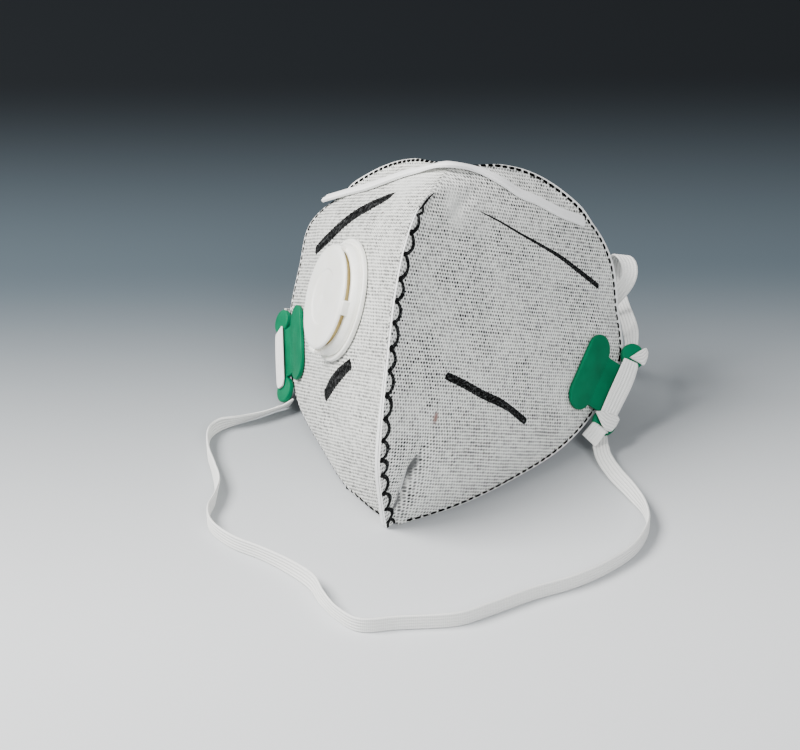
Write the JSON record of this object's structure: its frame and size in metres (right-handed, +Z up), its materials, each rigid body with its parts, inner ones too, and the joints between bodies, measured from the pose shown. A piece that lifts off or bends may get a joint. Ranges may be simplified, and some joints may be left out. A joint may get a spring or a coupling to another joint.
{
  "type": "folding dust mask with exhalation valve",
  "caption": "Folding dust mask standing on its chin, with a welded front seam, nose strip, round exhalation valve, side strap clips and flat elastic headbands.",
  "frame": {"origin": "middle of the mask's footprint, on the surface it rests on", "axes": "+Z up; -Y is where the front seam points and +Y where the face goes in; +X is the side of the panel without the valve"},
  "size_m": [0.168, 0.1985, 0.1101],
  "materials": {
    "cloth": "matt non-woven",
    "strip": "matt",
    "valve": "satin",
    "flap": "satin",
    "clip": "satin",
    "elastic": "knitted"
  },
  "bodies": {
    "root": {"panel_right": "cloth", "panel_left": "cloth", "nose_strip": "strip", "valve_flange": "valve", "valve_seat": "valve", "valve_flap": "flap", "valve_cover": "valve", "clip_right": "clip", "clip_left": "clip", "band_wrap_right": "elastic", "band_wrap_left": "elastic", "headband_lower": "elastic", "headband_upper": "elastic"}
  },
  "joints": []
}
